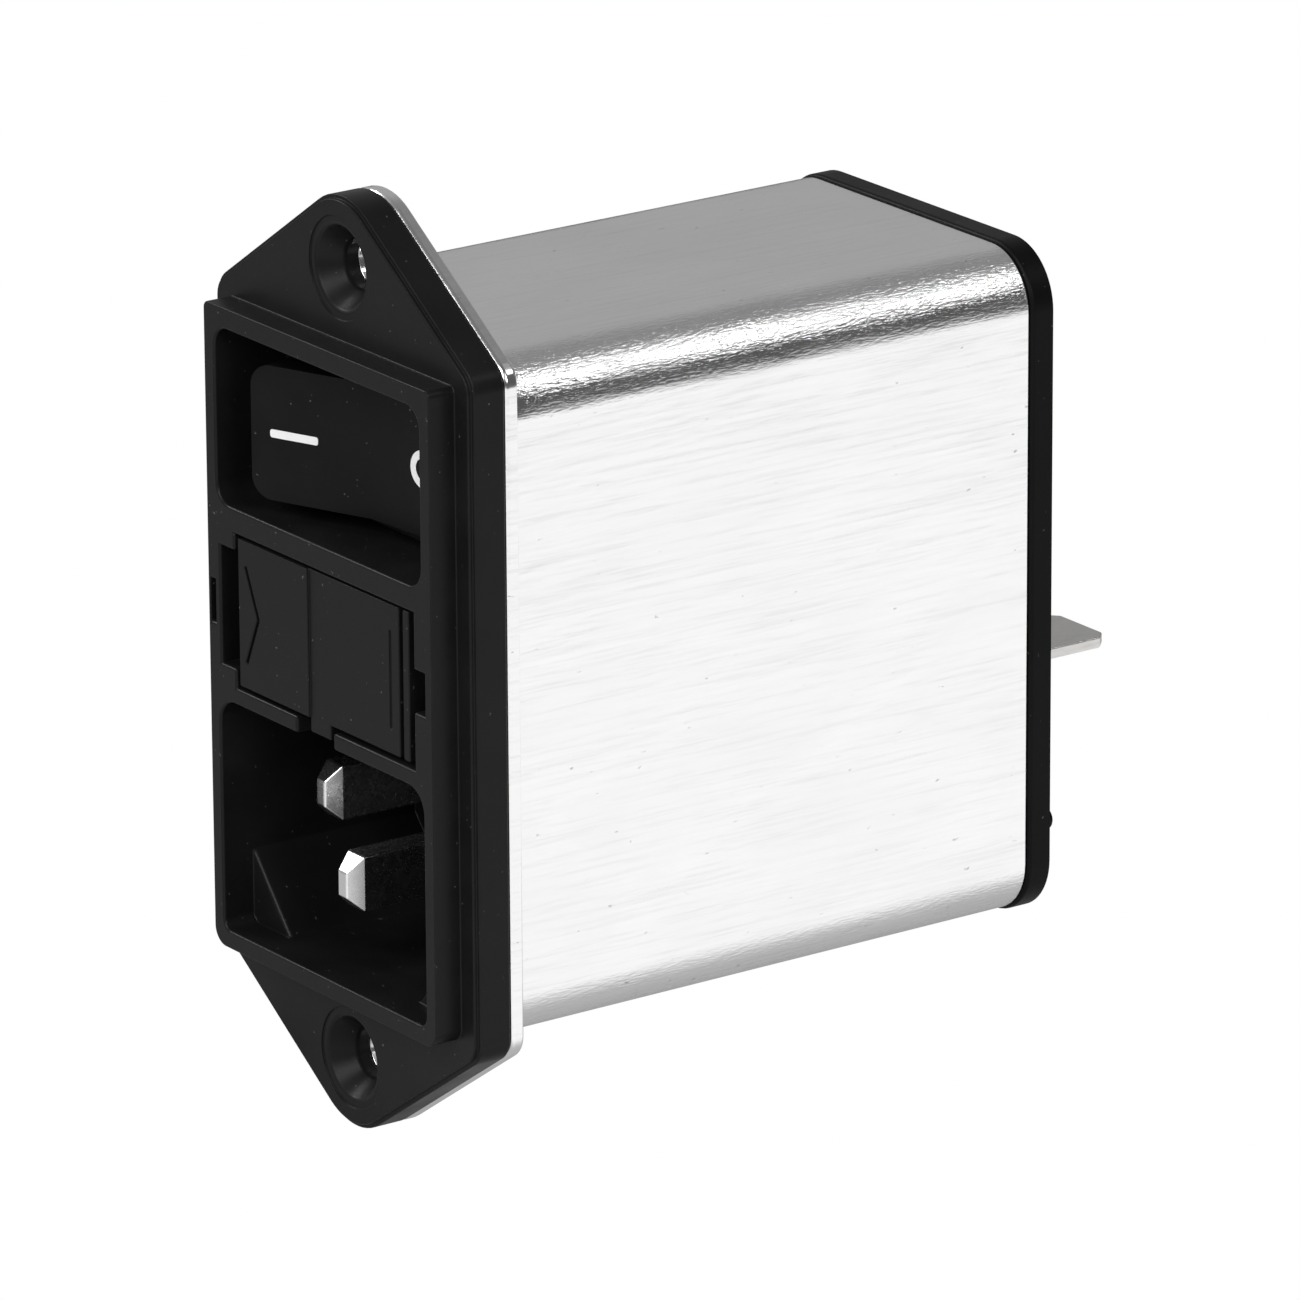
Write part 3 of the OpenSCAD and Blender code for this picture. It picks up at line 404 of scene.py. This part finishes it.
def span_between(a, b):
    """Distance between two edges that don't cross."""
    best = FAR
    for e, f in ((a, b), (b, a)):
        start, end = f.verts[0].co, f.verts[1].co
        along = end - start
        for v in e.verts:
            share = max(0.0, min(1.0, (v.co - start).dot(along) / along.length_squared))
            best = min(best, (start + along * share - v.co).length)
    return best


def keep_apart(bm, layer):
    """Roundings that face each other across a flat face share the width between them."""
    for face in bm.faces:
        sides = []
        for loop in face.loops:
            e = loop.edge
            if e[layer] > 0:
                along = (loop.link_loop_next.vert.co - loop.vert.co).normalized()
                sides.append((e, face.normal.cross(along)))
        for i, (e, inward) in enumerate(sides):
            for f, other in sides[i + 1:]:
                if inward.dot(other) < OPPOSED and not set(e.verts) & set(f.verts):
                    both = e[layer] + f[layer]
                    gap = SHARED_GAP * span_between(e, f)
                    if both > gap:
                        e[layer] *= gap / both
                        f[layer] *= gap / both


def even_out(bm, layer):
    """Edges that run on into each other take the smallest radius among them."""
    pairs = []
    for v in bm.verts:
        hard = [e for e in v.link_edges if e[layer] > 0]
        for i, e in enumerate(hard):
            pairs += [(e, f) for f in hard[i + 1:] if runs_on(e, v, f) < AHEAD]
    changed = True
    while changed:
        changed = False
        for e, f in pairs:
            small = min(e[layer], f[layer])
            if max(e[layer], f[layer]) > small:
                e[layer] = f[layer] = small
                changed = True


def weigh_edges(bm, convex, concave, choose=None):
    """Sets each hard edge's radius in millimetres. choose gives another one where it says so."""
    layer = bm.edges.layers.float.new("bevel_weight_edge")
    for e in bm.edges:
        if len(e.link_faces) != 2:
            continue
        turn = e.calc_face_angle_signed(0.0)
        if abs(turn) < SHARP:
            continue
        other = choose(e, turn > 0) if choose else None
        e[layer] = (convex if turn > 0 else concave) if other is None else other
    reach = {e: ROOM_SHARE * room(e, layer) for e in bm.edges if e[layer] > 0}
    for e, limit in reach.items():
        e[layer] = min(e[layer], limit)
    keep_apart(bm, layer)
    even_out(bm, layer)


WELD = 0.0005               # mm within which two vertices are one
FLAT = math.radians(0.6)    # faces that turn less than this are joined to one


def solid_of(name):
    """A CAD node's shape in millimetres, with its flat faces joined up."""
    bm = bmesh.new()
    bm.from_mesh(nodes[name].data)
    bmesh.ops.scale(bm, vec=(1 / MM,) * 3, verts=bm.verts)
    bmesh.ops.remove_doubles(bm, verts=bm.verts, dist=WELD)
    bmesh.ops.dissolve_limit(bm, angle_limit=FLAT, verts=bm.verts, edges=bm.edges)
    bm.normal_update()
    return bm


def give_material(obj, material):
    obj.data.materials.clear()
    obj.data.materials.append(material)


def finish_piece(obj, body, material, slot, *replaced):
    give_material(obj, material)
    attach(obj, body)
    if replaced:
        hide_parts(*replaced)


def dressed(name, convex, concave, choose=None, segments=3):
    """The node's shape with its hard edges rounded, in place of the plain node."""
    bm = solid_of(name)
    weigh_edges(bm, convex, concave, choose=choose)
    obj = rounded(new_object(name + "_dressed", bm), segments)
    finish_piece(obj, body_of[name], MATERIALS[slot_of[name]], slot_of[name], name)


BEZEL_FACE = 0.1            # vertices this near to the foremost one, in mm, lie on the bezel's face


def bezel_box():
    """The lowest and the highest corner of the bezel's face, in millimetres."""
    points = [v.co / MM for v in nodes["front_housing"].data.vertices]
    near = min(p.y for p in points)
    front = [p for p in points if p.y < near + BEZEL_FACE]
    return (Vector((min(p.x for p in front), near, min(p.z for p in front))),
            Vector((max(p.x for p in front), near, max(p.z for p in front))))


BEZEL_LOW, BEZEL_HIGH = bezel_box()

# The rest of these are in millimetres.
FIXING = 28.1               # from the middle to a fixing hole
FIXING_REACH = 2.0          # from the hole's axis to beyond its rim
FIXING_EDGE = 0.06          # radius at the hole's rim
FLANGE_REAR = 0.05          # how near to the flange's rear face, where Y is 0, an edge lies on it
FLANGE_FILLET = 0.7         # radius where that face meets the can
FLANGE_FRONT = -1.0         # edges before this are on the flange's front face
FLANGE_EDGE = 0.4           # their radius

KEY_SPAN = 2.0              # least length along X and along Z of a keyed corner's slanted edge
KEY_LEVEL = 0.01            # most that its ends may differ in depth
BEZEL_SKIN = 0.3            # depth behind the bezel's face that still counts as its front
BEZEL_SIDE = 0.6            # how near to the bezel's sides an edge is an outer one
BEZEL_DEPTH = 2.0           # how far behind its face the bezel's outer edges reach
BEZEL_UPRIGHT = 1.0         # least length along Y of an edge at one of its corners
BEZEL_EDGE = 0.3            # radius of its outer edges and of the keyed corners'


def middle(e):
    return (e.verts[0].co + e.verts[1].co) / 2


def can_edges(e, convex):
    """A wide fillet where the flange meets the can, and crisp fixing holes."""
    mid = middle(e)
    if math.hypot(mid.x, abs(mid.z) - FIXING) < FIXING_REACH:
        return FIXING_EDGE
    if not convex and abs(mid.y) < FLANGE_REAR:
        return FLANGE_FILLET
    if convex and mid.y < FLANGE_FRONT:
        return FLANGE_EDGE
    return None


def key_edge(e):
    """True for the slanted front edges of the inlet's keyed corners, behind the bezel's face."""
    a, b = e.verts[0].co, e.verts[1].co
    slanted = (abs(a.x - b.x) > KEY_SPAN and abs(a.z - b.z) > KEY_SPAN
               and abs(a.y - b.y) < KEY_LEVEL)
    within = min(a.z, b.z) > BEZEL_LOW.z and max(abs(a.x), abs(b.x)) < BEZEL_HIGH.x
    return slanted and within and BEZEL_LOW.y + BEZEL_SKIN < a.y


def housing_edges(e, convex):
    """A softer edge round the bezel's front, at its corners and at the inlet's keyed corners."""
    if not convex:
        return None
    if key_edge(e):
        return BEZEL_EDGE
    mid = middle(e)
    inset = min(mid.x - BEZEL_LOW.x, BEZEL_HIGH.x - mid.x, mid.z - BEZEL_LOW.z,
                BEZEL_HIGH.z - mid.z)
    if inset < BEZEL_SIDE and mid.y < BEZEL_LOW.y + BEZEL_DEPTH:
        if mid.y < BEZEL_LOW.y + BEZEL_SKIN:
            return BEZEL_EDGE
        if abs(e.verts[0].co.y - e.verts[1].co.y) > BEZEL_UPRIGHT:
            return BEZEL_EDGE
    return None


# Each with the radius of its outer edges and of its inner ones.
dressed("front_housing", 0.2, 0.1, choose=housing_edges, segments=4)
dressed("metal_can", 0.25, 0.2, choose=can_edges, segments=4)
dressed("rear_cap", 0.3, 0.15)
dressed("fuse_drawer", 0.1, 0.06)
dressed("rocker", 0.35, 0.15)
dressed("switch_base", 0.12, 0.08)
for pin in ("line_pin", "neutral_pin", "earth_pin"):
    dressed(pin, 0.14, 0.08)
for tab in ("line_tab", "neutral_tab", "earth_tab"):
    dressed(tab, 0.12, 0.06)
for side in ("left", "right"):
    for pole in ("line", "neutral"):
        dressed(f"{pole}_fuse_cap_{side}", 0.18, 0.05)

for name, obj in nodes.items():
    give_material(obj, MATERIALS[slot_of[name]])
    obj.data.shade_smooth()
    obj.data.set_sharp_from_angle(angle=SMOOTH)


# ---- Marks on the rocker ----

ROCKER_TILT = 13.5          # degrees, with the O side pressed
ROCKER_DISH = 8.5           # degrees from the middle to each tip
ROCKER_FACE = 3.2           # mm from the hinge to the face's middle
MARK_RISE = 0.03            # mm that a mark stands out of the face
MARK_SINK = 0.08            # mm that it reaches into the face
MARK_EDGE = 0.02            # radius of its edges in mm
RING_STEPS = 48             # points round a circle
BAR_STEPS = 10              # steps round each of a bar's corners
BAR_CORNER = 0.3            # a corner's radius as a part of the bar's width


def outline_solid(name, rings):
    """A flat solid between closed outlines: the first is the edge and the others are holes."""
    bm = bmesh.new()
    edges = []
    for ring in rings:
        vs = [bm.verts.new((x, 0, z)) for x, z in ring]
        edges += [bm.edges.new((vs[i], vs[(i + 1) % len(vs)])) for i in range(len(vs))]
    bmesh.ops.triangle_fill(bm, use_beauty=True, use_dissolve=True, edges=edges, normal=(0, -1, 0))
    moved = bmesh.ops.extrude_face_region(bm, geom=bm.faces[:])
    bmesh.ops.translate(bm, vec=(0, MARK_RISE + MARK_SINK, 0),
                        verts=[v for v in moved["geom"] if isinstance(v, bmesh.types.BMVert)])
    bmesh.ops.translate(bm, vec=(0, -MARK_RISE, 0), verts=bm.verts)
    bmesh.ops.recalc_face_normals(bm, faces=bm.faces)
    bm.normal_update()
    weigh_edges(bm, MARK_EDGE, MARK_EDGE)
    return new_object(name, bm)


def ring_points(r):
    angles = [2 * math.pi * i / RING_STEPS for i in range(RING_STEPS)]
    return [(r * math.cos(a), r * math.sin(a)) for a in angles]


def bar_points(length, width):
    """A bar along X with its corners slightly rounded."""
    r = width * BAR_CORNER
    points = []
    for right, top, start in ((1, 1, 0), (-1, 1, 90), (-1, -1, 180), (1, -1, 270)):
        for i in range(BAR_STEPS + 1):
            a = math.radians(start + 90 * i / BAR_STEPS)
            points.append((right * (length / 2 - r) + r * math.cos(a),
                           top * (width / 2 - r) + r * math.sin(a)))
    return points


def rocker_mark(name, rings, along):
    """Lays a mark on the rocker's face, so many millimetres from the middle: left is negative."""
    obj = rounded(outline_solid(name, rings), segments=2)
    side = 1 if along > 0 else -1
    hinge = Vector(joints["rocker_tilt"]["pos_m"])
    tilt, dish = math.radians(ROCKER_TILT), math.radians(ROCKER_DISH)
    place = (Matrix.Translation(hinge) @ Matrix.Rotation(tilt, 4, "Z")
             @ Matrix.Translation((0, -ROCKER_FACE * MM, 0)) @ Matrix.Rotation(-side * dish, 4, "Z")
             @ Matrix.Translation((along * MM, 0, 0)))
    obj.data.transform(place)
    finish_piece(obj, "rocker", white_mark, "rocker_plastic")


rocker_mark("rocker_mark_on", [bar_points(length=3.9, width=0.58)], -6.2)
rocker_mark("rocker_mark_off", [ring_points(1.35), ring_points(0.78)], 5.6)


# ---- Stage, light and camera ----

FLOOR_REACH = 6.0                             # metres from the middle to the floor's sides
FLOOR_COLOUR = 0.8
FLOOR_LEFT, FLOOR_RIGHT = 0.5, 1.0            # share of the painted glow that reflections see, left and right
FLOOR_TURN = (-0.03, 0.03)                    # metres between which the one becomes the other
FLOOR_UNDER = 0.5                             # share of that which is left under the object, as a painted shadow
SHADE_EDGE = (0.002, 0.016)                   # metres outside the footprint where the painted shadow ends
FLOOR_FAR = 0.12                              # share of it that is left far away
FLOOR_FADE = (0.20, 0.33)                     # metres outside the footprint where it fades to that

# The studio's grey from left to right, at parts of the way across.
STUDIO = ((0.0, 0.37), (0.2, 0.36), (0.4, 0.22), (0.7, 0.11), (1.0, 0.08))

LAMP_AIM = (0.0, 0.015, 0.0)                  # metres
LAMPS = {                                     # place in metres, watts, width in metres
    "key": ((0.25, -0.81, 0.58), 6.5, 0.6),
    "left": ((-0.78, -0.35, 0.56), 2.6, 0.3),
    "side": ((0.95, -0.15, 0.5), 3.0, 0.4),
    "behind": ((0.58, 0.62, 0.71), 0.6, 0.18),
    "above": ((0.32, 0.58, 0.84), 0.15, 0.5),
}

CAMERA_PLACE = (0.56970, -0.38390, 0.22744)   # metres
CAMERA_AHEAD = (-0.77365, 0.55040, -0.31388)  # the way it looks
CAMERA_ROLL = -0.327                          # degrees
CAMERA_SENSOR, CAMERA_LENS = 36.0, 295.745    # mm
CAMERA_CLIP = (0.01, 20.0)                    # metres


def floor_glow(t, path):
    """How bright the camera sees the floor, and the painted glow that reflections see: darker on the left,
    with a painted shadow under the object, and darker far away, so that the bright metal has something to reflect."""
    x, y, _ = t.split(t.add("NewGeometry").outputs["Position"])
    low, high = cad_bounds
    across = t.ramp(x, FLOOR_LEFT, FLOOR_RIGHT, *FLOOR_TURN, smooth=True)
    centre = (low.y + high.y) / 2
    out_x = t.maths("SUBTRACT", t.maths("ABSOLUTE", x), high.x)
    aside = t.maths("ABSOLUTE", t.maths("SUBTRACT", y, centre))
    out_y = t.maths("SUBTRACT", aside, high.y - centre)
    outside = t.maths("MAXIMUM", out_x, out_y)
    # Painted shadow under the object, and painted darkening far away, in the glow that reflections see.
    painted_shade = t.maths("MULTIPLY", t.ramp(outside, FLOOR_UNDER, 1.0, *SHADE_EDGE, smooth=True),
                    t.ramp(outside, 1.0, FLOOR_FAR, *FLOOR_FADE, smooth=True))
    painted_glow = t.maths("MULTIPLY", t.maths("MULTIPLY", across, painted_shade), path["Is Glossy Ray"])
    seen = t.maths("MAXIMUM", path["Is Camera Ray"], path["Is Transmission Ray"])
    return t.maths("MAXIMUM", seen, painted_glow), t.maths("MAXIMUM", seen, path["Is Glossy Ray"])


def stage_floor():
    """A pale floor that lights the object as a matt one does, that glows for reflections with painted light and a
    painted shadow, and that the camera sees white.
    """
    bm = bmesh.new()
    corners = ((-1, -1), (1, -1), (1, 1), (-1, 1))
    bm.faces.new([bm.verts.new((x * FLOOR_REACH, y * FLOOR_REACH, cad_bounds[0].z))
                  for x, y in corners])
    floor = new_object("floor", bm)
    mat = bpy.data.materials.new("floor_white")
    mat.use_nodes = True
    t = Tree(mat.node_tree)
    t.tree.nodes.clear()
    diffuse, glow, mix = t.add("BsdfDiffuse"), t.add("Emission"), t.add("MixShader")
    diffuse.inputs["Color"].default_value = (*grey(FLOOR_COLOUR), 1)
    brightness, share = floor_glow(t, t.add("LightPath").outputs)
    t.link(brightness, glow.inputs["Strength"])
    t.link(share, mix.inputs["Fac"])
    t.link(diffuse.outputs[0], mix.inputs[1])
    t.link(glow.outputs[0], mix.inputs[2])
    t.link(mix.outputs[0], t.add("OutputMaterial").inputs["Surface"])
    floor.data.materials.append(mat)


def studio_world():
    """A plain studio, paler on the left than on the right, that the camera sees white."""
    world = bpy.data.worlds.new("studio")
    scene.world = world
    world.use_nodes = True
    t = Tree(world.node_tree)
    x, _, _ = t.split(t.add("TexCoord").outputs["Generated"])
    ramp = t.add("ValToRGB")
    ramp.color_ramp.interpolation = "EASE"
    stops = ramp.color_ramp.elements
    while len(stops) < len(STUDIO):
        stops.new(0.5)
    for stop, (at, value) in zip(stops, STUDIO):
        stop.position = at
        stop.color = (*grey(value), 1)
    t.link(t.mask(x, -1.0, 1.0), ramp.inputs["Fac"])
    seen = t.mix(t.add("LightPath").outputs["Is Camera Ray"], ramp.outputs["Color"], grey(1.0))
    back = t.tree.nodes["Background"]
    t.link(seen, back.inputs["Color"])
    back.inputs["Strength"].default_value = 1.0


def lamp(name, place, watts, width):
    data = bpy.data.lights.new(name, "AREA")
    data.energy = watts
    data.shape = "RECTANGLE"
    data.size = data.size_y = width
    obj = bpy.data.objects.new(name, data)
    obj.location = place
    obj.rotation_mode = "QUATERNION"
    obj.rotation_quaternion = (Vector(LAMP_AIM) - Vector(place)).to_track_quat("-Z", "Y")
    scene.collection.objects.link(obj)


def photo_camera():
    """A long lens, above and to the right of the object's front."""
    ahead = Vector(CAMERA_AHEAD).normalized()
    roll = math.radians(CAMERA_ROLL)
    level = ahead.cross(Vector((0, 0, 1))).normalized()
    upright = level.cross(ahead)
    right = math.cos(roll) * level + math.sin(roll) * upright
    up = -math.sin(roll) * level + math.cos(roll) * upright
    data = bpy.data.cameras.new("camera")
    data.sensor_width = CAMERA_SENSOR
    data.lens = CAMERA_LENS
    data.clip_start, data.clip_end = CAMERA_CLIP
    cam = bpy.data.objects.new("camera", data)
    columns = (right, up, -ahead, Vector(CAMERA_PLACE))
    cam.matrix_world = Matrix([[c[i] for c in columns] for i in range(3)] + [[0, 0, 0, 1]])
    scene.collection.objects.link(cam)
    scene.camera = cam


photo_camera()
stage_floor()
studio_world()
for name, (place, watts, width) in LAMPS.items():
    lamp(name, place, watts, width)
scene.view_settings.view_transform = "Standard"
